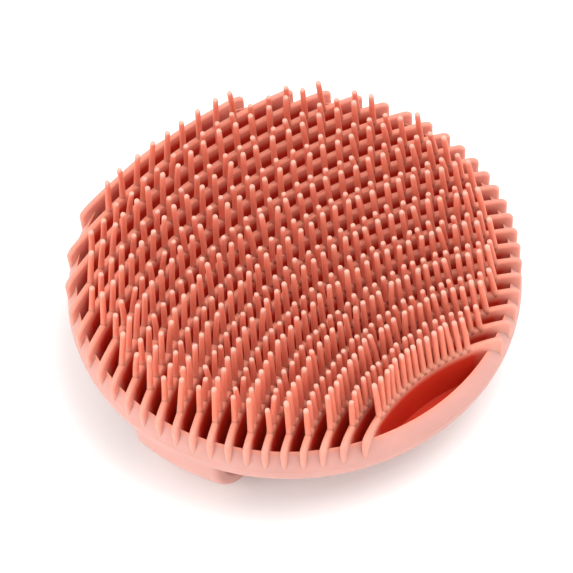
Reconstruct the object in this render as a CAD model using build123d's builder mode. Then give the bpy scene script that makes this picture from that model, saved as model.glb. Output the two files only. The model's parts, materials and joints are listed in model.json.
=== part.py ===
"""Hand-held silicone facial cleansing brush.

A shallow round dish of soft silicone is crossed by thin curved ridges, which all
share one arc centre outside the dish. Rows of slender round-tipped bristles stand
on the ridge crests, long and short rows by turns. A wide strap runs across the back
and leaves a gap for the fingers.

Millimetres. Origin on the middle of the strap's outer face, which the brush lies
on, with +Z up through the bristles and +X along the strap.
"""
from build123d import *
from math import acos, cos, floor, radians, sin, sqrt
import os

os.makedirs("parts", exist_ok=True)

# Dish
dish_radius = 45.0  # at the parting line, the widest place
edge_inset = 1.95  # the rim's inner edge, in from dish_radius
floor_thickness = 3.0
cavity_depth = 7.8  # dish floor to the rim's inner edge
edge_height = 4.5  # parting line to the rim's inner edge
back_corner = 6.3  # round between the back and the parting line
wall_draft = 0.6  # how much the cavity narrows towards its floor
edge_round = 0.3
floor_round = 1.5

# Strap
strap_width = 19.4
strap_thickness = 2.8
strap_bend = 14.0  # outer radius between the band and its leg
strap_inset = 1.1  # the leg's outer face, in from dish_radius
strap_edge_round = 0.8
finger_gap = 9.0  # strap to the dish's back

# Ridges
ridge_pitch = 3.7
ridge_thickness = 1.3
ridge_rise = 2.25  # crest above the rim's inner edge
near_ridge_margin = 8.6  # ridge nearest the arc centre, in from dish_radius
far_ridge_margin = 3.0  # farthest ridge, at least this far in from dish_radius
arc_centre_distance = 74.25  # from the dish's axis to the ridges' arc centre
arc_centre_angle = -104.3  # direction of that centre, from +X
hump_round = 1.4  # round where a ridge runs over the rim
hump_overhang = 0.3  # end of that round, out from dish_radius
hump_foot = 0.5  # a hump's end face is aimed at a point this far above the parting line
hump_foot_inset = 0.15  # and this far in from dish_radius, just inside the rim
envelope_headroom = 0.05  # keeps the envelope's flat top off the rounded crests

# Bristles
tall_bristle = 9.3
short_bristle = 6.9
bristle_root_radius = 0.66
bristle_tip_radius = 0.54
bristle_margin = 2.2  # outermost bristles, in from the rim's inner edge
near_bristle_pitch = 1.7  # along the first ridge
far_bristle_pitch = 4.3  # along the last ridge
aim_height = 480.0  # all bristles lean towards a point this far above the dish
bristle_foot_gap = 0.2  # running clearance between crest and bristle

# Levels
back_level = strap_thickness + finger_gap
floor_level = back_level + floor_thickness
edge_level = floor_level + cavity_depth
parting_level = edge_level - edge_height
crest_level = edge_level + ridge_rise

# Radii and places that follow
edge_radius = dish_radius - edge_inset
strap_reach = dish_radius - strap_inset
band_half_length = strap_reach - strap_bend
arc_centre = Vector(
    arc_centre_distance * cos(radians(arc_centre_angle)),
    arc_centre_distance * sin(radians(arc_centre_angle)),
)
first_ridge = dish_radius - near_ridge_margin
ridge_count = floor((first_ridge + dish_radius - far_ridge_margin) / ridge_pitch) + 1
ridge_depth_into_floor = 0.5  # ridge blanks start below the floor, then the dish is cut away


def ridge_radius(number):
    """Radius of a ridge's centre line about the arc centre; ridge 1 is the nearest."""
    return arc_centre_distance - first_ridge + (number - 1) * ridge_pitch


def bristle_angles(number):
    """Angles of one ridge's bristles about the arc centre, from the line to the dish's axis."""
    radius = ridge_radius(number)
    reach = edge_radius - bristle_margin
    cosine = (radius**2 + arc_centre_distance**2 - reach**2) / (2 * radius * arc_centre_distance)
    if cosine >= 1:
        return []
    far_share = (number - 1) / (ridge_count - 1)
    pitch = near_bristle_pitch + (far_bristle_pitch - near_bristle_pitch) * far_share
    steps = acos(cosine) * radius / pitch
    # Odd ridges have a bristle on the centre line and even ones straddle it.
    if number % 2 == 1:
        count = 2 * floor(steps) + 1
    else:
        count = 2 * floor(steps + 0.5)
    return [(place - (count - 1) / 2) * pitch / radius for place in range(count)]


def bristle_places(number):
    """Planes for one ridge's bristles, each on the crest and leaning to the aim point."""
    radius = ridge_radius(number)
    inward = radians(arc_centre_angle + 180)
    places = []
    for angle in bristle_angles(number):
        x = arc_centre.X + radius * cos(inward + angle)
        y = arc_centre.Y + radius * sin(inward + angle)
        foot = Vector(x, y, crest_level + bristle_foot_gap)
        places.append(Plane(origin=foot, z_dir=Vector(-x, -y, aim_height)))
    return places


# The dish's outside: back, rounded rim and a solid middle
with BuildPart() as dish_blank:
    with BuildSketch(Plane.XZ):
        with BuildLine():
            Line((0, back_level), (dish_radius - back_corner, back_level))
            TangentArc(
                (dish_radius - back_corner, back_level),
                (dish_radius, parting_level),
                tangent=(1, 0),
            )
            TangentArc((dish_radius, parting_level), (edge_radius, edge_level), tangent=(0, 1))
            Line((edge_radius, edge_level), (0, edge_level))
            Line((0, edge_level), (0, back_level))
        make_face()
    revolve(axis=Axis.Z)

# Dish: the blank with its cavity turned out
with BuildPart() as dish:
    add(dish_blank.part)
    with BuildSketch(Plane.XZ):
        with BuildLine():
            Line((0, floor_level), (edge_radius - wall_draft, floor_level))
            Line((edge_radius - wall_draft, floor_level), (edge_radius, edge_level))
            Line((edge_radius, edge_level), (0, edge_level))
            Line((0, edge_level), (0, floor_level))
        make_face()
    revolve(axis=Axis.Z, mode=Mode.SUBTRACT)
    edge_circle = dish.edges().filter_by(GeomType.CIRCLE).group_by(Axis.Z)[-1]
    fillet(edge_circle, edge_round)
    floor_circle = (
        dish.edges()
        .filter_by(GeomType.CIRCLE)
        .filter_by(lambda edge: abs(edge.center().Z - floor_level) < 1e-6)
    )
    fillet(floor_circle, floor_round)
dish.part.label = "dish"
export_step(dish.part, "parts/dish.step")

# The space under which every ridge stays: flat over the cavity, rounded down over the rim
envelope_top = crest_level + envelope_headroom
hump_end = dish_radius + hump_overhang
hump_foot_point = (dish_radius - hump_foot_inset, parting_level + hump_foot)
with BuildPart() as ridge_envelope:
    with BuildSketch(Plane.XZ):
        with BuildLine():
            Line((0, floor_level), (0, envelope_top))
            Line((0, envelope_top), (hump_end - hump_round, envelope_top))
            TangentArc(
                (hump_end - hump_round, envelope_top),
                (hump_end, envelope_top - hump_round),
                tangent=(1, 0),
            )
            Line((hump_end, envelope_top - hump_round), hump_foot_point)
            Line(hump_foot_point, (edge_radius, floor_level))
            Line((edge_radius, floor_level), (0, floor_level))
        make_face()
    revolve(axis=Axis.Z)

# Ridges: round-topped walls on arcs about one centre
ridge_axis = Axis((arc_centre.X, arc_centre.Y, 0), (0, 0, 1))
for number in range(1, ridge_count + 1):
    radius = ridge_radius(number)
    inner = radius - ridge_thickness / 2
    outer = radius + ridge_thickness / 2
    shoulder = crest_level - ridge_thickness / 2
    foot = floor_level - ridge_depth_into_floor
    with BuildPart() as ridge:
        with BuildSketch(Plane.XZ.offset(-arc_centre.Y)):
            with BuildLine():
                Line((arc_centre.X + inner, foot), (arc_centre.X + outer, foot))
                Line((arc_centre.X + outer, foot), (arc_centre.X + outer, shoulder))
                ThreePointArc(
                    (arc_centre.X + outer, shoulder),
                    (arc_centre.X + radius, crest_level),
                    (arc_centre.X + inner, shoulder),
                )
                Line((arc_centre.X + inner, shoulder), (arc_centre.X + inner, foot))
            make_face()
        revolve(axis=ridge_axis)
        add(ridge_envelope.part, mode=Mode.INTERSECT)
        add(dish.part, mode=Mode.SUBTRACT)
    ridge.part.label = f"ridge_{number:02d}"
    export_step(ridge.part, f"parts/ridge_{number:02d}.step")


def bristle_blank(length):
    """One slender tapered bristle with a domed tip, standing on the XY plane."""
    with BuildPart() as bristle:
        with BuildSketch(Plane.XZ):
            with BuildLine():
                Line((0, 0), (bristle_root_radius, 0))
                Line((bristle_root_radius, 0), (bristle_tip_radius, length - bristle_tip_radius))
                ThreePointArc(
                    (bristle_tip_radius, length - bristle_tip_radius),
                    (
                        bristle_tip_radius * sqrt(0.5),
                        length - bristle_tip_radius * (1 - sqrt(0.5)),
                    ),
                    (0, length),
                )
                Line((0, length), (0, 0))
            make_face()
        revolve(axis=Axis.Z)
    return bristle.part


# Bristle rows: one group of separate bristles over each ridge that has room for them
tall_blank = bristle_blank(tall_bristle)
short_blank = bristle_blank(short_bristle)
for number in range(1, ridge_count + 1):
    places = bristle_places(number)
    if not places:
        continue
    blank = tall_blank if number % 2 == 1 else short_blank
    with BuildPart() as bristle_row:
        with Locations(*places):
            add(blank)
    bristle_row.part.label = f"bristle_row_{number:02d}"
    export_step(bristle_row.part, f"parts/bristle_row_{number:02d}.step")

# Strap band: the flat middle of the strap
with BuildPart() as strap_band:
    Box(
        2 * band_half_length,
        strap_width,
        strap_thickness,
        align=(Align.CENTER, Align.CENTER, Align.MIN),
    )
    fillet(strap_band.edges().filter_by(Axis.X), strap_edge_round)
strap_band.part.label = "strap_band"
export_step(strap_band.part, "parts/strap_band.step")

# Strap legs: bends that rise from the band's ends into the dish
leg_top = parting_level
for side, name in ((1, "strap_leg_right"), (-1, "strap_leg_left")):
    bend_centre = side * band_half_length
    inner_bend = strap_bend - strap_thickness
    with BuildPart() as strap_leg:
        with BuildSketch(Plane.XZ):
            with BuildLine():
                Line((bend_centre, 0), (bend_centre, strap_thickness))
                TangentArc(
                    (bend_centre, strap_thickness),
                    (bend_centre + side * inner_bend, strap_bend),
                    tangent=(side, 0),
                )
                Line(
                    (bend_centre + side * inner_bend, strap_bend),
                    (bend_centre + side * inner_bend, leg_top),
                )
                Line(
                    (bend_centre + side * inner_bend, leg_top),
                    (side * strap_reach, leg_top),
                )
                Line((side * strap_reach, leg_top), (side * strap_reach, strap_bend))
                TangentArc(
                    (side * strap_reach, strap_bend),
                    (bend_centre, 0),
                    tangent=(0, -1),
                )
            make_face()
        extrude(amount=strap_width / 2, both=True)
        long_edges = strap_leg.edges().filter_by(
            lambda edge: abs(abs(edge.center().Y) - strap_width / 2) < 1e-6
            and edge.geom_type != GeomType.LINE
        )
        fillet(long_edges, strap_edge_round)
        Cylinder(strap_reach, 2 * edge_level, mode=Mode.INTERSECT)
        add(dish_blank.part, mode=Mode.SUBTRACT)
    strap_leg.part.label = name
    export_step(strap_leg.part, f"parts/{name}.step")
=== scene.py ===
"""Looks of a hand-held silicone facial cleansing brush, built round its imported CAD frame.

Metres. The origin is the middle of the strap's outer face, +Z runs up through the
bristles and +X along the strap.
"""

import json
from math import atan2, cos, pi, radians, sin, sqrt

import bmesh
import bpy
from bpy.props import FloatProperty, FloatVectorProperty, IntProperty, PointerProperty
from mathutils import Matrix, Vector


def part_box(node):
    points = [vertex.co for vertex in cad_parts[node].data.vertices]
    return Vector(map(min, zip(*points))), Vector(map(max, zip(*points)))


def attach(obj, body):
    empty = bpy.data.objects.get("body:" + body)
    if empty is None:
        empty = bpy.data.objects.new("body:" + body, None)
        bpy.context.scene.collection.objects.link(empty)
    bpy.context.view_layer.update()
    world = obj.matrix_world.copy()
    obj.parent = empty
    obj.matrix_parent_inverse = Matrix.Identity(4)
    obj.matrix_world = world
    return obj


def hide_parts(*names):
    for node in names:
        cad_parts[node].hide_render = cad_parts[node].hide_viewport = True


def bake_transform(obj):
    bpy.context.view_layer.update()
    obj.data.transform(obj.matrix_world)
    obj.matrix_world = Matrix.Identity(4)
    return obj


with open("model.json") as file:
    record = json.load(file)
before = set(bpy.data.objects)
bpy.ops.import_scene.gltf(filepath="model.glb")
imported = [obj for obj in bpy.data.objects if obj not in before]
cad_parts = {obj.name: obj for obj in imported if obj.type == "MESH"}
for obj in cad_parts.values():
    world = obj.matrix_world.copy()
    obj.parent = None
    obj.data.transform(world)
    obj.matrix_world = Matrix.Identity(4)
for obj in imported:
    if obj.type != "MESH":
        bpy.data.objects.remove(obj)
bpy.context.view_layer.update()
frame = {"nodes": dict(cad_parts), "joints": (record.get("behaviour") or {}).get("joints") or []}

bl_info = {
    "name": "Silicone Face Brush",
    "version": (1, 0, 0),
    "blender": (4, 5, 0),
    "location": "3D View > Sidebar > Face Brush",
    "description": "Builds a silicone facial cleansing brush, from its dish to its bristles",
    "category": "Add Mesh",
}

MM = 0.001


# Places that come from the frame

DISH_LOW, DISH_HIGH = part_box("dish")
BAND_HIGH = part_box("strap_band")[1]
LEG_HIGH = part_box("strap_leg_right")[1]
DISH_RADIUS = DISH_HIGH.x
BACK_LEVEL = DISH_LOW.z
CREST_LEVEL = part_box("ridge_05")[1].z
FLOOR_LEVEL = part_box("ridge_05")[0].z
DISH_CORNERS = [vertex.co for vertex in frame["nodes"]["dish"].data.vertices]
PARTING_LEVEL = max(DISH_CORNERS, key=lambda corner: corner.xy.length).z
RIDGE_NAMES = sorted(name for name in frame["nodes"] if name.startswith("ridge_"))
ROW_JOINTS = {
    joint["child"]: joint for joint in frame["joints"] if joint["child"].startswith("bristle_row_")
}
ARC_CENTRE = Vector(ROW_JOINTS["bristle_row_01"]["pos_m"][:2])
ARC_CENTRE_DISTANCE = ARC_CENTRE.length
INWARD = atan2(-ARC_CENTRE.y, -ARC_CENTRE.x)


def arc_reach(node):
    """Nearest and farthest distance of a CAD node from the ridges' arc centre."""
    reach = [(vertex.co.xy - ARC_CENTRE).length for vertex in frame["nodes"][node].data.vertices]
    return min(reach), max(reach)


def arc_span(node):
    """Lowest and highest angle of a CAD node about the arc centre; 0 points at the dish's axis."""
    heading = Vector((cos(INWARD), sin(INWARD)))
    angles = []
    for vertex in frame["nodes"][node].data.vertices:
        arm = vertex.co.xy - ARC_CENTRE
        angles.append(atan2(heading.x * arm.y - heading.y * arm.x, heading.dot(arm)))
    return min(angles), max(angles)


# Sizes and colours that a user would change


class DishSizes(bpy.types.PropertyGroup):
    """Sizes of the dish's own details."""

    edge_inset: FloatProperty(
        name="Edge Inset",
        description="Inner edge of the rim, in from the dish's widest place",
        default=1.95 * MM,
        unit="LENGTH",
    )
    rim_height: FloatProperty(
        name="Rim Height",
        description="Parting line to the rim's inner edge",
        default=4.5 * MM,
        unit="LENGTH",
    )
    back_corner: FloatProperty(
        name="Back Corner",
        description="Round between the dish's back and its parting line",
        default=6.3 * MM,
        unit="LENGTH",
    )
    floor_round: FloatProperty(
        name="Floor Round",
        description="Round between the cavity's floor and its wall",
        default=1.5 * MM,
        unit="LENGTH",
    )
    wall_draft: FloatProperty(
        name="Wall Draft",
        description="How much the cavity narrows towards its floor",
        default=0.6 * MM,
        unit="LENGTH",
    )
    flash: FloatProperty(
        name="Flash",
        description="How far the moulding line stands out of the dish's wall",
        default=0.07 * MM,
        unit="LENGTH",
    )
    segments: IntProperty(
        name="Segments", description="Facets round the dish", default=240, min=24
    )


class RidgeSizes(bpy.types.PropertyGroup):
    """Sizes of the curved ridges."""

    hump_round: FloatProperty(
        name="Hump Round",
        description="Radius of a ridge's centre line where it turns down over the rim",
        default=0.75 * MM,
        unit="LENGTH",
    )
    hump_overhang: FloatProperty(
        name="Hump Overhang",
        description="Outer face of a ridge's end, out from the dish's widest place",
        default=0.3 * MM,
        unit="LENGTH",
    )
    end_lean: FloatProperty(
        name="End Lean",
        description="How far a ridge's end leans in on its way down to the parting line",
        default=0.4 * MM,
        unit="LENGTH",
    )
    stations: IntProperty(
        name="Stations", description="Sections along one ridge", default=96, min=12
    )
    sides: IntProperty(
        name="Sides", description="Facets round one ridge's section", default=14, min=6
    )


class BristleSizes(bpy.types.PropertyGroup):
    """Sizes and unevenness of the bristles."""

    root_radius: FloatProperty(
        name="Root Radius",
        description="Radius of a bristle at its foot",
        default=0.66 * MM,
        unit="LENGTH",
    )
    tip_radius: FloatProperty(
        name="Tip Radius",
        description="Radius of a bristle at its domed tip",
        default=0.54 * MM,
        unit="LENGTH",
    )
    near_pitch: FloatProperty(
        name="Near Pitch",
        description="Bristle spacing along the first ridge",
        default=1.7 * MM,
        unit="LENGTH",
    )
    far_pitch: FloatProperty(
        name="Far Pitch",
        description="Bristle spacing along the last ridge",
        default=4.3 * MM,
        unit="LENGTH",
    )
    aim_height: FloatProperty(
        name="Aim Height",
        description="All bristles lean towards a point this far above their feet",
        default=480 * MM,
        unit="LENGTH",
    )
    side_lean: FloatProperty(
        name="Side Lean",
        description="Lean that all bristles share",
        default=radians(1.0),
        subtype="ANGLE",
    )
    scatter: FloatProperty(
        name="Scatter",
        description="Most that one bristle leans away from its neighbours",
        default=radians(1.2),
        subtype="ANGLE",
    )
    bend: FloatProperty(
        name="Bend",
        description="Most that a bristle's tip is bent aside",
        default=0.3 * MM,
        unit="LENGTH",
    )
    seed: IntProperty(name="Seed", description="Seed of the bristles' unevenness", default=11)


class StrapSizes(bpy.types.PropertyGroup):
    """Sizes of the finger strap."""

    edge_round: FloatProperty(
        name="Edge Round",
        description="Round along the strap's long edges",
        default=0.9 * MM,
        unit="LENGTH",
    )
    bend: FloatProperty(
        name="Bend",
        description="Outer radius between the band and its legs",
        default=14.0 * MM,
        unit="LENGTH",
    )
    root_flare: FloatProperty(
        name="Root Flare",
        description="How much each side of the strap widens where it meets the dish",
        default=2.2 * MM,
        unit="LENGTH",
    )


def colour_property(name, description, default):
    return FloatVectorProperty(
        name=name, description=description, default=default, size=3, min=0, max=1, subtype="COLOR"
    )


class SiliconeColours(bpy.types.PropertyGroup):
    """Linear colours of the silicone; the cavity colour is painted shade, the hump and tip colours
    are painted light, and the rim colour holds some painted sheen.
    """

    # The rim colour is the thick wall's own paler coral with a painted sheen added.
    rim: colour_property("Rim", "Pale coral of the thick outer wall", (0.57, 0.295, 0.255))
    # Painted shade: this strong, dark coral stands in for the shade down in the cavity and between
    # the ridges.
    painted_shade: colour_property("Deep", "Strong coral down in the cavity", (0.56, 0.032, 0.013))
    ridge: colour_property("Ridge", "Coral along the ridges' crests", (0.70, 0.27, 0.19))
    # Painted light: this paler coral stands in for light glowing through the ridges' ends.
    hump: colour_property("Hump", "Paler coral of the ridges' ends", (0.66, 0.29, 0.225))
    shaft: colour_property("Shaft", "Coral of the bristles' shafts", (0.71, 0.215, 0.14))
    # Painted light: this pale coral stands in for light glowing through the bristles' tips.
    tip: colour_property("Tip", "Pale coral of the bristles' tips", (0.66, 0.37, 0.29))
    strap: colour_property("Strap", "Coral of the finger strap", (0.56, 0.30, 0.26))


class StageSizes(bpy.types.PropertyGroup):
    """Camera, floor and lights."""

    azimuth: FloatProperty(
        name="Azimuth", description="Camera's heading", default=radians(-52.6), subtype="ANGLE"
    )
    elevation: FloatProperty(
        name="Elevation",
        description="Camera's height above the horizon",
        default=radians(53.4),
        subtype="ANGLE",
    )
    roll: FloatProperty(
        name="Roll",
        description="Camera's turn about its view",
        default=radians(4.5),
        subtype="ANGLE",
    )
    distance: FloatProperty(
        name="Distance", description="Camera to the middle of the rim", default=2.0, unit="LENGTH"
    )
    lens: FloatProperty(name="Lens", description="Focal length in millimetres", default=634.7)
    frame_right: FloatProperty(
        name="Frame Right",
        description="How far the camera stands to the right of the rim's middle",
        default=-1.40 * MM,
        unit="LENGTH",
    )
    frame_up: FloatProperty(
        name="Frame Up",
        description="How far the camera stands above the rim's middle",
        default=-2.35 * MM,
        unit="LENGTH",
    )
    floor_size: FloatProperty(
        name="Floor Size", description="Side of the floor", default=8.0, unit="LENGTH"
    )


class BrushSettings(bpy.types.PropertyGroup):
    """All settings of the brush."""

    dish: PointerProperty(type=DishSizes)
    ridge: PointerProperty(type=RidgeSizes)
    bristle: PointerProperty(type=BristleSizes)
    strap: PointerProperty(type=StrapSizes)
    colours: PointerProperty(type=SiliconeColours)
    stage: PointerProperty(type=StageSizes)


# Node trees written as Python expressions


class Wire:
    """An output socket of a node, which can be used in sums."""

    def __init__(self, graph, socket):
        self.graph = graph
        self.socket = socket

    def __add__(self, other):
        return self.graph.maths("ADD", self, other)

    __radd__ = __add__

    def __sub__(self, other):
        return self.graph.maths("SUBTRACT", self, other)

    def __rsub__(self, other):
        return self.graph.maths("SUBTRACT", other, self)

    def __mul__(self, other):
        return self.graph.maths("MULTIPLY", self, other)

    __rmul__ = __mul__

    def __truediv__(self, other):
        return self.graph.maths("DIVIDE", self, other)

    def __rtruediv__(self, other):
        return self.graph.maths("DIVIDE", other, self)

    def __neg__(self):
        return self.graph.maths("MULTIPLY", self, -1.0)


class Graph:
    """A shader or geometry node tree under construction."""

    def __init__(self, tree):
        self.tree = tree

    def node(self, kind, settings=None, sockets=None):
        """A node of one type: its settings are set first, then its sockets' values or links."""
        made = self.tree.nodes.new(kind)
        for name, value in (settings or {}).items():
            setattr(made, name, value)
        for name, value in (sockets or {}).items():
            socket = self.find(made.inputs, name)
            if isinstance(value, Wire):
                self.tree.links.new(value.socket, socket)
            else:
                socket.default_value = value
        return made

    def find(self, sockets, name):
        """The socket at a place, or the enabled one with a name."""
        if isinstance(name, int):
            return sockets[name]
        return next(s for s in sockets if s.name == name and s.enabled)

    def wire(self, kind, settings=None, sockets=None, output=0):
        """One output of a new node."""
        made = self.node(kind, settings, sockets)
        return Wire(self, self.find(made.outputs, output))

    def maths(self, operation, *values):
        return self.wire("ShaderNodeMath", {"operation": operation}, dict(enumerate(values)))

    def vector(self, operation, *values):
        return self.wire("ShaderNodeVectorMath", {"operation": operation}, dict(enumerate(values)))

    def scaled(self, vector, scale):
        return self.wire(
            "ShaderNodeVectorMath", {"operation": "SCALE"}, {"Vector": vector, "Scale": scale}
        )

    def combine(self, x, y, z):
        return self.wire("ShaderNodeCombineXYZ", None, {0: x, 1: y, 2: z})

    def separate(self, vector):
        made = self.node("ShaderNodeSeparateXYZ", None, {0: vector})
        return [Wire(self, socket) for socket in made.outputs]

    def stored(self, geometry, label, kind, value, domain="POINT"):
        """The geometry with a value kept on it under a label."""
        return self.wire(
            "GeometryNodeStoreNamedAttribute",
            {"data_type": kind, "domain": domain},
            {"Geometry": geometry, "Name": label, "Value": value},
        )

    def kept(self, label, kind):
        """A value kept on the geometry under a label."""
        return self.wire("GeometryNodeInputNamedAttribute", {"data_type": kind}, {"Name": label})

    def ramp(self, value, low, high, start=0.0, end=1.0, smooth=False):
        """value from low..high to start..end, held at both ends."""
        kind = "SMOOTHSTEP" if smooth else "LINEAR"
        return self.wire(
            "ShaderNodeMapRange",
            {"interpolation_type": kind, "clamp": True},
            {"Value": value, "From Min": low, "From Max": high, "To Min": start, "To Max": end},
            "Result",
        )

    def blend_colour(self, share, first, second):
        made = self.node("ShaderNodeMix", {"data_type": "RGBA"}, {"Factor": share})
        for name, value in (("A", first), ("B", second)):
            socket = self.find(made.inputs, name)
            if isinstance(value, Wire):
                self.tree.links.new(value.socket, socket)
            else:
                socket.default_value = (*value, 1.0)
        return Wire(self, self.find(made.outputs, "Result"))


def geometry_tree(name, inputs):
    """A geometry node group with named inputs, its graph, and the wires of those inputs."""
    tree = bpy.data.node_groups.new(name, "GeometryNodeTree")
    tree.interface.new_socket("Geometry", in_out="OUTPUT", socket_type="NodeSocketGeometry")
    for label, kind in inputs:
        tree.interface.new_socket(label, in_out="INPUT", socket_type=f"NodeSocket{kind}")
    graph = Graph(tree)
    source = tree.nodes.new("NodeGroupInput")
    wires = {label: Wire(graph, source.outputs[label]) for label, _ in inputs}
    return tree, graph, wires


def end_tree(graph, geometry, material):
    """Ends a tree in Realize Instances and Set Material."""
    real = graph.wire("GeometryNodeRealizeInstances", None, {"Geometry": geometry})
    painted = graph.wire(
        "GeometryNodeSetMaterial", None, {"Geometry": real, "Material": material}
    )
    sink = graph.tree.nodes.new("NodeGroupOutput")
    graph.tree.links.new(painted.socket, sink.inputs["Geometry"])


def grown(name, tree, values):
    """A plain mesh object of what the tree makes from these inputs."""
    seedling = bpy.data.objects.new(name + "_tree", bpy.data.meshes.new(name + "_tree"))
    bpy.context.scene.collection.objects.link(seedling)
    modifier = seedling.modifiers.new("Nodes", "NODES")
    modifier.node_group = tree
    for item in tree.interface.items_tree:
        if item.item_type == "SOCKET" and item.in_out == "INPUT" and item.name in values:
            modifier[item.identifier] = values[item.name]
    bpy.context.view_layer.update()
    graph = bpy.context.evaluated_depsgraph_get()
    mesh = bpy.data.meshes.new_from_object(seedling.evaluated_get(graph), depsgraph=graph)
    seedling.modifiers.clear()
    bpy.data.objects.remove(seedling)
    mesh.name = name
    return placed(name, mesh)


def placed(name, mesh):
    if not mesh.polygons:
        raise RuntimeError(f"{name} has no faces")
    piece = bpy.data.objects.new(name, mesh)
    bpy.context.scene.collection.objects.link(piece)
    return piece


# Meshes made from sections


def skinned(name, rings, closed_round, material):
    """A mesh over rings of points; open rows of rings are capped at both ends."""
    mesh = bpy.data.meshes.new(name)
    work = bmesh.new()
    rows = [[work.verts.new(point) for point in ring] for ring in rings]
    pairs = list(zip(rows, rows[1:]))
    if closed_round:
        pairs.append((rows[-1], rows[0]))
    for first, second in pairs:
        for place in range(len(first)):
            after = (place + 1) % len(first)
            work.faces.new((first[place], first[after], second[after], second[place]))
    if not closed_round:
        work.faces.new(reversed(rows[0]))
        work.faces.new(rows[-1])
    bmesh.ops.remove_doubles(work, verts=work.verts, dist=1e-7)
    bmesh.ops.recalc_face_normals(work, faces=work.faces)
    for face in work.faces:
        face.smooth = True
    work.to_mesh(mesh)
    work.free()
    mesh.materials.append(material)
    return placed(name, mesh)


def arc_points(centre, radius, start, end, count):
    """Points on an arc from one angle to another, both ends included."""
    step = (end - start) / count
    return [
        (centre[0] + radius * cos(start + step * n), centre[1] + radius * sin(start + step * n))
        for n in range(count + 1)
    ]


# Materials


def silicone(name, colour_of, mottle_size=7.0 * MM, glow_depth=2.2 * MM):
    """Satin translucent silicone; colour_of takes the graph and place and gives the base colour."""
    grain_size = 0.22 * MM
    grain_height = 0.03 * MM
    material = bpy.data.materials.new(name)
    material.use_nodes = True
    graph = Graph(material.node_tree)
    shader = next(n for n in graph.tree.nodes if n.type == "BSDF_PRINCIPLED")
    place = graph.wire("ShaderNodeTexCoord", output="Object")
    cloud = graph.wire(
        "ShaderNodeTexNoise",
        None,
        {"Vector": place, "Scale": 1 / mottle_size, "Detail": 2.0, "Roughness": 0.5},
        "Fac",
    )
    grain = graph.wire(
        "ShaderNodeTexNoise",
        None,
        {"Vector": place, "Scale": 1 / grain_size, "Detail": 3.0, "Roughness": 0.6},
        "Fac",
    )
    base = colour_of(graph, place)
    mottled = graph.wire(
        "ShaderNodeHueSaturation",
        None,
        {"Color": base, "Value": graph.ramp(cloud, 0.3, 0.7, 0.955, 1.03)},
    )
    graph.tree.links.new(mottled.socket, shader.inputs["Base Color"])
    rough = graph.ramp(cloud, 0.3, 0.7, 0.46, 0.56) + graph.ramp(grain, 0.3, 0.7, -0.03, 0.03)
    graph.tree.links.new(rough.socket, shader.inputs["Roughness"])
    bump = graph.wire(
        "ShaderNodeBump", None, {"Strength": 0.22, "Distance": grain_height, "Height": grain}
    )
    graph.tree.links.new(bump.socket, shader.inputs["Normal"])
    shader.inputs["IOR"].default_value = 1.41
    shader.inputs["Specular IOR Level"].default_value = 0.24
    shader.inputs["Subsurface Weight"].default_value = 0.55
    shader.inputs["Subsurface Radius"].default_value = (1.0, 0.32, 0.22)
    shader.inputs["Subsurface Scale"].default_value = glow_depth
    return material


def by_height(low, high, low_colour, high_colour):
    """Base colour that changes with height above the floor."""

    def colour_of(graph, place):
        height = graph.separate(place)[2]
        return graph.blend_colour(
            graph.ramp(height, low, high, smooth=True), low_colour, high_colour
        )

    return colour_of


def by_cavity(low, high, pale_from, pale_to, painted_shade_colour, top_colour, pale_colour):
    """Base colour darkened towards the cavity's floor as painted shade, lighter at its top, and
    paler over the rim, where it carries painted light.
    """

    def colour_of(graph, place):
        x, y, height = graph.separate(place)
        reach = graph.maths("SQRT", x * x + y * y)
        # Painted shade: darker towards the cavity's floor, lighter towards its top.
        inside = graph.blend_colour(
            graph.ramp(height, low, high, smooth=True), painted_shade_colour, top_colour
        )
        # Over the rim the pale colour carries painted light: sheen on the dish's rim, glow at the
        # ridges' ends.
        over_rim = graph.ramp(reach, pale_from, pale_to)
        # Below the cavity's floor only the dish's outside shows.
        at_back = graph.ramp(height, FLOOR_LEVEL - 0.5 * MM, FLOOR_LEVEL - 0.15 * MM, 1.0, 0.0)
        return graph.blend_colour(graph.maths("MAXIMUM", over_rim, at_back), inside, pale_colour)

    return colour_of


def by_bristle(root_colour, shaft_colour, tip_glow_colour):
    """Base colour that pales along a bristle into a painted glow of light through its tip, a little
    unevenly from one to the next.
    """

    def colour_of(graph, place):
        along = graph.wire("ShaderNodeAttribute", {"attribute_name": "along"}, None, "Fac")
        paleness = graph.wire("ShaderNodeAttribute", {"attribute_name": "paleness"}, None, "Fac")
        shaft_share = graph.ramp(along, 0.0, 0.3, smooth=True)
        low = graph.blend_colour(shaft_share, root_colour, shaft_colour)
        # Painted glow of light through the tip.
        tip_glow_share = graph.ramp(along + 0.03 * paleness, 0.84, 1.0, smooth=True)
        return graph.blend_colour(tip_glow_share, low, tip_glow_colour)

    return colour_of


# The dish


def rim_radius(level, sizes):
    """Outside radius of the dish at a level."""
    if level >= PARTING_LEVEL:
        rim_round = (sizes.edge_inset**2 + sizes.rim_height**2) / (2 * sizes.edge_inset)
        return DISH_RADIUS - rim_round + sqrt(rim_round**2 - (level - PARTING_LEVEL) ** 2)
    drop = PARTING_LEVEL - level
    return DISH_RADIUS - sizes.back_corner + sqrt(max(0.0, sizes.back_corner**2 - drop**2))


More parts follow.
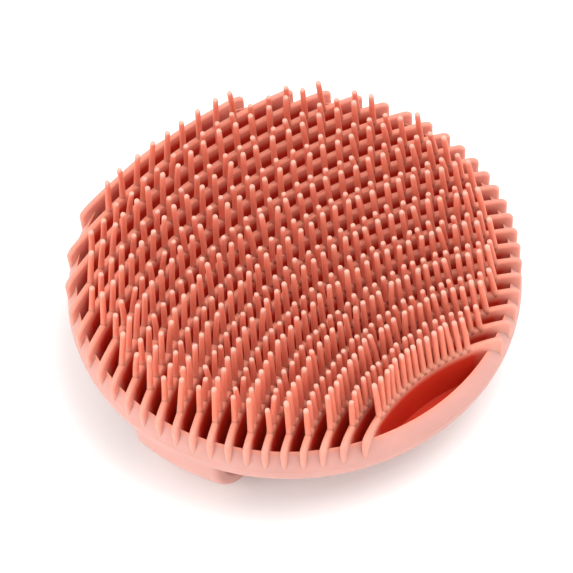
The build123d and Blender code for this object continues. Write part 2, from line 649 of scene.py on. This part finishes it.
def dish_outline(sizes):
    """Closed half section of the dish, from the axis at the back round to the axis at the floor."""
    corner_centre = (DISH_RADIUS - sizes.back_corner, PARTING_LEVEL)
    edge_level = PARTING_LEVEL + sizes.rim_height
    edge_radius = DISH_RADIUS - sizes.edge_inset
    shares = (0.002, 0.3, 0.6, 0.8)  # of the radius, for the flat back and floor
    back = [(share * DISH_RADIUS, BACK_LEVEL) for share in shares]
    corner_end = -0.06  # radians, just short of the bead
    corner = arc_points(corner_centre, sizes.back_corner, -pi / 2, corner_end, 14)
    bead = [
        (DISH_RADIUS - 0.01 * MM, PARTING_LEVEL - 0.16 * MM),
        (DISH_RADIUS + sizes.flash, PARTING_LEVEL - 0.07 * MM),
        (DISH_RADIUS + sizes.flash, PARTING_LEVEL + 0.07 * MM),
        (DISH_RADIUS - 0.01 * MM, PARTING_LEVEL + 0.16 * MM),
    ]
    steps = 12
    slope_start = PARTING_LEVEL + 0.4 * MM
    slope_rise = edge_level - 0.3 * MM - slope_start
    slope_levels = [slope_start + slope_rise * n / steps for n in range(steps + 1)]
    slope = [(rim_radius(level, sizes), level) for level in slope_levels]
    lip = [
        (edge_radius + 0.16 * MM, edge_level - 0.06 * MM),
        (edge_radius + 0.05 * MM, edge_level - 0.04 * MM),
        (edge_radius - 0.04 * MM, edge_level - 0.14 * MM),
        (edge_radius - 0.06 * MM, edge_level - 0.4 * MM),
    ]
    foot_radius = edge_radius - sizes.wall_draft
    round_centre = (foot_radius - sizes.floor_round, FLOOR_LEVEL + sizes.floor_round)
    cove = arc_points(round_centre, sizes.floor_round, 0.0, -pi / 2, 6)
    floor = [(share * DISH_RADIUS, FLOOR_LEVEL) for share in reversed(shares)]
    return back + corner + bead + slope + lip + cove + floor


class BRUSH_OT_dish(bpy.types.Operator):
    """Turn the dish: back, rounded wall with its moulding line, rim edge and cavity"""

    bl_idname = "face_brush.dish"
    bl_label = "Dish"

    def execute(self, context):
        sizes = context.scene.face_brush.dish
        colours = context.scene.face_brush.colours
        # The dish's colour is painted shade towards the cavity's floor, and the rim's paler coral
        # with a painted sheen.
        material = silicone(
            "dish_silicone",
            by_cavity(
                FLOOR_LEVEL - 1.0 * MM,
                CREST_LEVEL - 2.2 * MM,
                DISH_RADIUS - 1.95 * MM,
                DISH_RADIUS - 1.2 * MM,
                colours.painted_shade,
                colours.ridge,
                colours.rim,
            ),
        )
        outline = dish_outline(sizes)
        rings = []
        for place in range(sizes.segments):
            turn = 2 * pi * place / sizes.segments
            rings.append([(r * cos(turn), r * sin(turn), z) for r, z in outline])
        dish = skinned("dish_shell", rings, True, material)
        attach(dish, "dish")
        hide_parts("dish")
        return {"FINISHED"}


# The ridges


def ridge_tree():
    """Nodes of one ridge: a round crest on an arc that turns down over the rim, and its wall."""
    tree, graph, wires = geometry_tree(
        "curved_ridge",
        [
            ("Arc Centre", "Vector"),
            ("Arc Radius", "Float"),
            ("Centre Distance", "Float"),
            ("Inward", "Float"),
            ("Half Thickness", "Float"),
            ("Crest", "Float"),
            ("Foot", "Float"),
            ("Foot Reach", "Float"),
            ("End Reach", "Float"),
            ("Hump Round", "Float"),
            ("End Lean", "Float"),
            ("End Level", "Float"),
            ("Stations", "Int"),
            ("Sides", "Int"),
            ("Material", "Material"),
        ],
    )
    w = wires
    flat_share, turned_share = 0.76, 0.9  # of the way from the middle to an end
    line = graph.wire("GeometryNodeCurvePrimitiveLine", None, {"End": (1.0, 0.0, 0.0)})
    stations = graph.wire(
        "GeometryNodeResampleCurve", {"mode": "COUNT"}, {"Curve": line, "Count": w["Stations"]}
    )
    along = graph.wire("GeometryNodeSplineParameter", None, None, "Factor") * 2.0 - 1.0
    share = graph.maths("ABSOLUTE", along)
    side = graph.maths("SIGN", along)

    turned = graph.ramp(share, flat_share, turned_share, 0.0, pi / 2)
    hump_start = w["End Reach"] - w["Hump Round"]
    fallen = graph.ramp(share, turned_share, 1.0)
    reach = hump_start + w["Hump Round"] * graph.maths("SINE", turned)
    ridge_radius, centre_distance = w["Arc Radius"], w["Centre Distance"]

    def arc_angle(distance):
        """Angle about the arc centre at which the ridge is this far from the dish's axis."""
        cosine = (
            ridge_radius * ridge_radius + centre_distance * centre_distance - distance * distance
        ) / (2.0 * ridge_radius * centre_distance)
        return graph.maths("ARCCOSINE", cosine)

    flat_part = graph.ramp(share, 0.0, flat_share)
    heading = w["Inward"] + side * flat_part * arc_angle(reach)
    tube_level = w["Crest"] - w["Half Thickness"]
    turned_level = tube_level - w["Hump Round"] * (1.0 - graph.maths("COSINE", turned))
    fall = fallen * (tube_level - w["Hump Round"] - w["End Level"])
    across = graph.combine(
        graph.maths("COSINE", heading), graph.maths("SINE", heading), 0.0
    )
    spot = graph.vector("ADD", w["Arc Centre"], graph.scaled(across, ridge_radius))
    lift = graph.combine(0.0, 0.0, turned_level - fall)
    outward = graph.vector("NORMALIZE", spot)
    leaned = graph.vector("SUBTRACT", spot, graph.scaled(outward, fallen * w["End Lean"]))
    path = graph.wire(
        "GeometryNodeSetPosition",
        None,
        {"Geometry": stations, "Position": graph.vector("ADD", leaned, lift)},
    )
    # Past the cavity the wall's foot stays in the dish's own wall.
    spot_reach = graph.wire(
        "ShaderNodeVectorMath", {"operation": "LENGTH"}, {0: spot}, "Value"
    )
    overhang = graph.maths("MAXIMUM", spot_reach - w["Foot Reach"], 0.0)
    last_foot_rise = 1.5 * MM
    foot_rise = graph.combine(0.0, 0.0, fallen * last_foot_rise)
    foot_shift = graph.vector("SUBTRACT", foot_rise, graph.scaled(outward, overhang))
    stored = graph.stored(path, "across", "FLOAT_VECTOR", across)
    stored = graph.stored(stored, "foot_shift", "FLOAT_VECTOR", foot_shift)
    kept_across = graph.kept("across", "FLOAT_VECTOR")
    upright = graph.wire(
        "GeometryNodeSetCurveNormal", {"mode": "FREE"}, {"Curve": stored, "Normal": kept_across}
    )
    section_x, section_y, _ = graph.separate(graph.wire("GeometryNodeInputPosition"))
    section = graph.wire(
        "GeometryNodeCurvePrimitiveCircle",
        {"mode": "RADIUS"},
        {"Resolution": w["Sides"], "Radius": w["Half Thickness"]},
    )
    section = graph.stored(section, "sideways", "FLOAT", section_x)
    section = graph.stored(section, "downwards", "FLOAT", section_y)
    body = graph.wire(
        "GeometryNodeCurveToMesh",
        None,
        {"Curve": upright, "Profile Curve": section, "Fill Caps": True},
    )
    downwards = graph.kept("downwards", "FLOAT")
    sideways = graph.kept("sideways", "FLOAT")
    kept_foot_shift = graph.kept("foot_shift", "FLOAT_VECTOR")
    draft = 1.25  # width of the wall's foot over the width of its crest
    below_spot = graph.vector(
        "ADD", w["Arc Centre"], graph.scaled(kept_across, ridge_radius + sideways * draft)
    )
    foot_spot = graph.vector("ADD", below_spot, graph.combine(0.0, 0.0, w["Foot"]))
    foot_place = graph.vector("ADD", foot_spot, kept_foot_shift)
    lower_half_start = 0.02 * MM
    below = graph.wire(
        "FunctionNodeCompare",
        {"data_type": "FLOAT", "operation": "GREATER_THAN"},
        {"A": downwards, "B": lower_half_start},
    )
    walled = graph.wire(
        "GeometryNodeSetPosition",
        None,
        {"Geometry": body, "Selection": below, "Position": foot_place},
    )
    fold = graph.wire("GeometryNodeInputMeshEdgeAngle", None, None, "Unsigned Angle")
    crisp_fold = 0.9  # radians
    crisp = graph.wire(
        "FunctionNodeCompare",
        {"data_type": "FLOAT", "operation": "GREATER_THAN"},
        {"A": fold, "B": crisp_fold},
    )
    smoothed = graph.wire(
        "GeometryNodeSetShadeSmooth", {"domain": "FACE"}, {"Geometry": walled, "Shade Smooth": True}
    )
    edged = graph.wire(
        "GeometryNodeSetShadeSmooth",
        {"domain": "EDGE"},
        {"Geometry": smoothed, "Selection": crisp, "Shade Smooth": False},
    )
    end_tree(graph, edged, w["Material"])
    return tree


class BRUSH_OT_ridges(bpy.types.Operator):
    """Grow the curved ridges that cross the dish and run over its rim"""

    bl_idname = "face_brush.ridges"
    bl_label = "Ridges"

    def execute(self, context):
        sizes = context.scene.face_brush.ridge
        colours = context.scene.face_brush.colours
        dish_sizes = context.scene.face_brush.dish
        # The ridges' colour is painted shade down their walls, and painted light at their ends over
        # the rim.
        material = silicone(
            "ridge_silicone",
            by_cavity(
                CREST_LEVEL - 3.0 * MM,
                CREST_LEVEL - 0.5 * MM,
                DISH_RADIUS - 4.0 * MM,
                DISH_RADIUS - 1.2 * MM,
                colours.painted_shade,
                colours.ridge,
                colours.hump,
            ),
        )
        tree = ridge_tree()
        for name in RIDGE_NAMES:
            inner, outer = arc_reach(name)
            half_thickness = (outer - inner) / 2
            ridge = grown(
                name.replace("ridge", "curved_ridge"),
                tree,
                {
                    "Arc Centre": (*ARC_CENTRE, 0.0),
                    "Arc Radius": (inner + outer) / 2,
                    "Centre Distance": ARC_CENTRE_DISTANCE,
                    "Inward": INWARD,
                    "Half Thickness": half_thickness,
                    "Crest": CREST_LEVEL,
                    "Foot": FLOOR_LEVEL - 0.3 * MM,
                    "Foot Reach": DISH_RADIUS - dish_sizes.edge_inset - 0.2 * MM,
                    "End Reach": DISH_RADIUS + sizes.hump_overhang - half_thickness,
                    "Hump Round": sizes.hump_round,
                    "End Lean": sizes.end_lean,
                    "End Level": PARTING_LEVEL + 0.3 * MM,
                    "Stations": sizes.stations,
                    "Sides": sizes.sides,
                    "Material": material,
                },
            )
            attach(ridge, "dish")
            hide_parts(name)
        return {"FINISHED"}


# The bristles


def bristle_blank(name, length, sizes, material):
    """One bristle standing on the origin, with a flared foot and a domed tip."""
    sides = 8
    flare, flare_height = 0.06 * MM, 0.5 * MM
    sunk = 0.9 * MM  # into the ridge below
    dome_height = 0.4 * MM
    dome_start = length - dome_height
    levels = [-sunk, flare_height / 2, flare_height, length / 2, dome_start]
    levels += [dome_start + dome_height * sin(radians(a)) for a in (35, 65)]
    rings = []
    for level in levels:
        share = max(0.0, level) / dome_start
        radius = sizes.root_radius + (sizes.tip_radius - sizes.root_radius) * min(1.0, share)
        radius += flare * max(0.0, 1 - max(0.0, level) / flare_height) ** 2
        if level > dome_start:
            radius = sizes.tip_radius * (1 - ((level - dome_start) / dome_height) ** 2) ** 0.38
        ring = []
        for place in range(sides):
            turn = 2 * pi * place / sides
            ring.append((radius * cos(turn), radius * sin(turn), level))
        rings.append(ring)
    top = [(0.6 * x, 0.6 * y, length - 0.02 * MM) for x, y, _ in rings[-1]]
    blank = skinned(name, rings + [top], False, material)
    along = blank.data.attributes.new("along", "FLOAT", "POINT")
    for vertex in blank.data.vertices:
        along.data[vertex.index].value = max(0.0, vertex.co.z) / length
    return blank


def row_tree():
    """Nodes of one row: bristles along an arc, each with its own lean and bend."""
    tree, graph, wires = geometry_tree(
        "bristle_row",
        [
            ("Blank", "Object"),
            ("Count", "Int"),
            ("Arc Centre", "Vector"),
            ("Arc Radius", "Float"),
            ("First Heading", "Float"),
            ("Heading Step", "Float"),
            ("Foot Level", "Float"),
            ("Aim Height", "Float"),
            ("Side Lean", "Vector"),
            ("Scatter", "Float"),
            ("Bend", "Float"),
            ("Seed", "Int"),
            ("Material", "Material"),
        ],
    )
    w = wires
    index = graph.wire("GeometryNodeInputIndex")
    heading = w["First Heading"] + index * w["Heading Step"]
    across = graph.combine(graph.maths("COSINE", heading), graph.maths("SINE", heading), 0.0)
    spot = graph.vector("ADD", w["Arc Centre"], graph.scaled(across, w["Arc Radius"]))
    feet = graph.vector("ADD", spot, graph.combine(0.0, 0.0, w["Foot Level"]))
    points = graph.wire("GeometryNodePoints", None, {"Count": w["Count"], "Position": feet})

    def uneven(low, high, seed_shift):
        return graph.wire(
            "FunctionNodeRandomValue",
            {"data_type": "FLOAT_VECTOR"},
            {"Min": (low,) * 3, "Max": (high,) * 3, "Seed": w["Seed"] + seed_shift},
        )

    x, y, _ = graph.separate(graph.wire("GeometryNodeInputPosition"))
    inward = graph.combine(-x / w["Aim Height"], -y / w["Aim Height"], 1.0)
    # The sum of two even draws leaves most bristles near the common lean and a few well off it.
    two_draws = graph.vector("ADD", uneven(-0.5, 0.5, 0), uneven(-0.5, 0.5, 1))
    own = graph.scaled(two_draws, w["Scatter"])
    own_x, own_y, _ = graph.separate(own)
    lean = graph.vector(
        "ADD", graph.vector("ADD", inward, w["Side Lean"]), graph.combine(own_x, own_y, 0.0)
    )
    turned = graph.wire(
        "FunctionNodeAlignRotationToVector", {"axis": "Z"}, {"Vector": lean}, "Rotation"
    )
    blank = graph.wire(
        "GeometryNodeObjectInfo",
        {"transform_space": "ORIGINAL"},
        {"Object": w["Blank"]},
        "Geometry",
    )
    row = graph.wire(
        "GeometryNodeInstanceOnPoints",
        None,
        {"Points": points, "Instance": blank, "Rotation": turned},
    )
    bend_x, bend_y, paleness = graph.separate(uneven(-1.0, 1.0, 2))
    bend = graph.combine(bend_x, bend_y, 0.0)
    # Cubed, so that most bristles are nearly straight.
    strength = graph.vector("MULTIPLY", bend, graph.vector("MULTIPLY", bend, bend))
    bend_reach = graph.scaled(strength, w["Bend"])
    row = graph.stored(row, "bend", "FLOAT_VECTOR", bend_reach, domain="INSTANCE")
    # paleness shifts where each bristle's painted tip glow starts.
    row = graph.stored(row, "paleness", "FLOAT", paleness, domain="INSTANCE")
    real = graph.wire("GeometryNodeRealizeInstances", None, {"Geometry": row})
    along = graph.kept("along", "FLOAT")
    kept_bend = graph.kept("bend", "FLOAT_VECTOR")
    bent = graph.wire(
        "GeometryNodeSetPosition",
        None,
        {"Geometry": real, "Offset": graph.scaled(kept_bend, along * along)},
    )
    end_tree(graph, bent, w["Material"])
    return tree


class BRUSH_OT_bristles(bpy.types.Operator):
    """Stand rows of long and short bristles on the ridges' crests"""

    bl_idname = "face_brush.bristles"
    bl_label = "Bristles"

    def execute(self, context):
        sizes = context.scene.face_brush.bristle
        colours = context.scene.face_brush.colours
        stage = context.scene.face_brush.stage
        # The bristles' pale tips are painted light, a glow through the tips.
        material = silicone(
            "bristle_silicone",
            by_bristle(colours.ridge, colours.shaft, colours.tip),
            mottle_size=4.0 * MM,
            glow_depth=1.4 * MM,
        )
        tree = row_tree()
        blanks = {}
        left = Vector((-cos(stage.azimuth), -sin(stage.azimuth)))
        last = len(RIDGE_NAMES) - 1
        for node in sorted(ROW_JOINTS):
            number = int(node[-2:])
            tip_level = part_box(node)[1].z
            length = tip_level - CREST_LEVEL
            kind = "tall" if number % 2 else "short"
            if kind not in blanks:
                blanks[kind] = bristle_blank(f"{kind}_blank", length, sizes, material)
            inner, outer = arc_reach(f"ridge_{number:02d}")
            arc_radius = (inner + outer) / 2
            first, final = arc_span(node)
            pitch = sizes.near_pitch + (sizes.far_pitch - sizes.near_pitch) * (number - 1) / last
            span = (final - first) - 2 * sizes.root_radius / arc_radius
            gaps = round(span * arc_radius / pitch)
            step = pitch / arc_radius
            row = grown(
                node.replace("bristle_row", "bristles"),
                tree,
                {
                    "Blank": blanks[kind],
                    "Count": gaps + 1,
                    "Arc Centre": (*ARC_CENTRE, 0.0),
                    "Arc Radius": arc_radius,
                    "First Heading": INWARD - step * gaps / 2,
                    "Heading Step": step,
                    "Foot Level": CREST_LEVEL,
                    "Aim Height": sizes.aim_height,
                    "Side Lean": (*(left * sizes.side_lean), 0.0),
                    "Scatter": 2 * sizes.scatter,
                    "Bend": 2 * sizes.bend,
                    "Seed": sizes.seed + 10 * number,
                    "Material": material,
                },
            )
            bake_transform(row)
            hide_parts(node)
        for blank in blanks.values():
            bpy.data.objects.remove(blank)
        return {"FINISHED"}


# The strap


def strap_section(place, inward, half_width, thickness, edge_round, bulge):
    """Rounded section of the strap; place is the middle of its outer face."""
    inset = half_width - edge_round
    ring = []
    corner_steps, face_steps = 4, 6
    outline = []
    for corner_x, corner_t, start in (
        (inset, edge_round, -pi / 2),
        (inset, thickness - edge_round, 0.0),
        (-inset, thickness - edge_round, pi / 2),
        (-inset, edge_round, pi),
    ):
        outline += arc_points((corner_x, corner_t), edge_round, start, start + pi / 2, corner_steps)
        if start == 0.0:
            side = 1
        elif start == pi:
            side = -1
        else:
            continue
        level = thickness if side == 1 else 0.0
        for n in range(1, face_steps):
            outline.append((side * inset * (1 - 2 * n / face_steps), level))
    for y, depth in outline:
        reach = depth + bulge * (y / half_width) ** 2
        ring.append((place[0] + inward[0] * reach, y, place[1] + inward[1] * reach))
    return ring


class BRUSH_OT_strap(bpy.types.Operator):
    """Sweep the finger strap from one side of the dish to the other"""

    bl_idname = "face_brush.strap"
    bl_label = "Strap"

    def execute(self, context):
        sizes = context.scene.face_brush.strap
        colours = context.scene.face_brush.colours
        material = silicone(
            "strap_silicone",
            by_height(0.0, BACK_LEVEL, colours.strap, colours.rim),
        )
        reach = LEG_HIGH.x
        half_width = BAND_HIGH.y
        thickness = BAND_HIGH.z
        bend_centre = reach - sizes.bend
        full_bulge = reach - sqrt(reach**2 - half_width**2)
        root_level = PARTING_LEVEL - 0.6 * MM
        leg_levels, bend_steps, band_steps = 9, 18, 12
        # Outer face from the band's middle to one root: place, inward normal, shares of the
        # bulge that follows the round dish and of the leg's height.
        half = []
        for n in range(band_steps):
            half.append(((bend_centre * n / band_steps, 0.0), (0.0, 1.0), 0.0, 0.0))
        for n in range(bend_steps + 1):
            turn = pi / 2 * n / bend_steps
            spot = (bend_centre + sizes.bend * sin(turn), sizes.bend * (1 - cos(turn)))
            half.append((spot, (-sin(turn), cos(turn)), sin(turn), 0.0))
        for n in range(1, leg_levels + 1):
            share = n / leg_levels
            level = sizes.bend + (root_level - sizes.bend) * share
            flush = (DISH_RADIUS - 0.15 * MM - reach) * share
            half.append(((reach + flush, level), (-1.0, 0.0), 1.0, share))
        rings = []
        for side in (-1, 1):
            stations = half[:0:-1] if side == -1 else half
            for (x, z), (nx, nz), bulge_share, root_share in stations:
                width = half_width + sizes.root_flare * root_share**2.5
                rings.append(
                    strap_section(
                        (side * x, z),
                        (side * nx, nz),
                        width,
                        thickness,
                        sizes.edge_round,
                        full_bulge * bulge_share * (width / half_width) ** 2,
                    )
                )
        strap = skinned("finger_strap", rings, False, material)
        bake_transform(strap)
        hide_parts("strap_band", "strap_leg_left", "strap_leg_right")
        return {"FINISHED"}


# The stage


def lay_floor(size):
    """A plain pale floor at the level the brush lies on."""
    half = size / 2
    mesh = bpy.data.meshes.new("stage_floor")
    corners = [(-half, -half, 0), (half, -half, 0), (half, half, 0), (-half, half, 0)]
    mesh.from_pydata(corners, [], [(0, 1, 2, 3)])
    floor = placed("stage_floor", mesh)
    paper = bpy.data.materials.new("pale_floor")
    paper.use_nodes = True
    shader = next(n for n in paper.node_tree.nodes if n.type == "BSDF_PRINCIPLED")
    shader.inputs["Base Color"].default_value = (0.93, 0.93, 0.93, 1.0)
    shader.inputs["Roughness"].default_value = 0.85
    shader.inputs["Specular IOR Level"].default_value = 0.2
    mesh.materials.append(paper)


def soft_world(scene):
    """Even, nearly white light from all round."""
    world = bpy.data.worlds.new("soft_studio")
    scene.world = world
    world.use_nodes = True
    background = next(n for n in world.node_tree.nodes if n.type == "BACKGROUND")
    background.inputs["Color"].default_value = (1.0, 0.99, 0.98, 1.0)
    background.inputs["Strength"].default_value = 0.95


def area_light(name, place, aim, size, watts, colour):
    """A round soft light at a place, turned to what it lights."""
    data = bpy.data.lights.new(name, "AREA")
    data.shape = "DISK"
    data.size = size
    data.energy = watts
    data.color = colour
    lamp = bpy.data.objects.new(name, data)
    bpy.context.scene.collection.objects.link(lamp)
    lamp.location = place
    lamp.rotation_euler = (Vector(aim) - Vector(place)).to_track_quat("-Z", "Y").to_euler()


def set_camera(scene, sizes, middle, right, up, back):
    """A long lens on the rim's middle, rolled and shifted a little."""
    data = bpy.data.cameras.new("camera")
    data.lens = sizes.lens
    data.sensor_width = 36.0
    data.clip_start = 0.01
    data.clip_end = 20.0
    camera = bpy.data.objects.new("camera", data)
    scene.collection.objects.link(camera)
    rolled_up = up * cos(sizes.roll) + right * sin(sizes.roll)
    rolled_right = right * cos(sizes.roll) - up * sin(sizes.roll)
    shift = rolled_right * sizes.frame_right + rolled_up * sizes.frame_up
    camera.location = middle + back * sizes.distance + shift
    turn = camera.matrix_world.to_3x3()
    turn.col[0], turn.col[1], turn.col[2] = rolled_right, rolled_up, back
    camera.rotation_euler = turn.to_euler()
    scene.camera = camera


class BRUSH_OT_stage(bpy.types.Operator):
    """Lay the pale floor, hang the soft lights and set the camera"""

    bl_idname = "face_brush.stage"
    bl_label = "Stage"

    def execute(self, context):
        sizes = context.scene.face_brush.stage
        rim_height = context.scene.face_brush.dish.rim_height
        lay_floor(sizes.floor_size)
        soft_world(context.scene)
        back = Vector(
            (
                sin(sizes.azimuth) * cos(sizes.elevation),
                -cos(sizes.azimuth) * cos(sizes.elevation),
                sin(sizes.elevation),
            )
        )
        right = Vector((cos(sizes.azimuth), sin(sizes.azimuth), 0.0))
        up = back.cross(right)
        middle = Vector((0.0, 0.0, PARTING_LEVEL + rim_height))
        key_place = middle + 0.35 * right + 0.5 * up + 0.7 * back
        fill_place = middle - 0.7 * right - 0.1 * up + 0.6 * back
        area_light("key_light", key_place, middle, 0.8, 7.0, (1.0, 1.0, 1.0))
        area_light("fill_light", fill_place, middle, 0.9, 5.0, (1.0, 0.99, 0.98))
        set_camera(context.scene, sizes, middle, right, up, back)
        context.scene.view_settings.view_transform = "Standard"
        return {"FINISHED"}


# Registration


class BRUSH_PT_panel(bpy.types.Panel):
    """Lists the brush's pieces and their settings"""

    bl_idname = "BRUSH_PT_panel"
    bl_label = "Face Brush"
    bl_space_type = "VIEW_3D"
    bl_region_type = "UI"
    bl_category = "Face Brush"

    def draw(self, context):
        settings = context.scene.face_brush
        for operator, group in STEPS:
            box = self.layout.box()
            box.operator(operator.bl_idname)
            sizes = getattr(settings, group)
            for name in sizes.bl_rna.properties.keys():
                if name not in ("rna_type", "name"):
                    box.prop(sizes, name)
        colours = self.layout.box()
        for name in settings.colours.bl_rna.properties.keys():
            if name not in ("rna_type", "name"):
                colours.prop(settings.colours, name)


STEPS = (
    (BRUSH_OT_dish, "dish"),
    (BRUSH_OT_ridges, "ridge"),
    (BRUSH_OT_bristles, "bristle"),
    (BRUSH_OT_strap, "strap"),
    (BRUSH_OT_stage, "stage"),
)

CLASSES = (
    DishSizes,
    RidgeSizes,
    BristleSizes,
    StrapSizes,
    SiliconeColours,
    StageSizes,
    BrushSettings,
    BRUSH_OT_dish,
    BRUSH_OT_ridges,
    BRUSH_OT_bristles,
    BRUSH_OT_strap,
    BRUSH_OT_stage,
    BRUSH_PT_panel,
)


def register():
    for cls in CLASSES:
        bpy.utils.register_class(cls)
    bpy.types.Scene.face_brush = PointerProperty(type=BrushSettings)


def unregister():
    del bpy.types.Scene.face_brush
    for cls in reversed(CLASSES):
        bpy.utils.unregister_class(cls)


def main():
    register()
    bpy.ops.face_brush.dish()
    bpy.ops.face_brush.ridges()
    bpy.ops.face_brush.bristles()
    bpy.ops.face_brush.strap()
    bpy.ops.face_brush.stage()


if __name__ == "__main__":
    main()
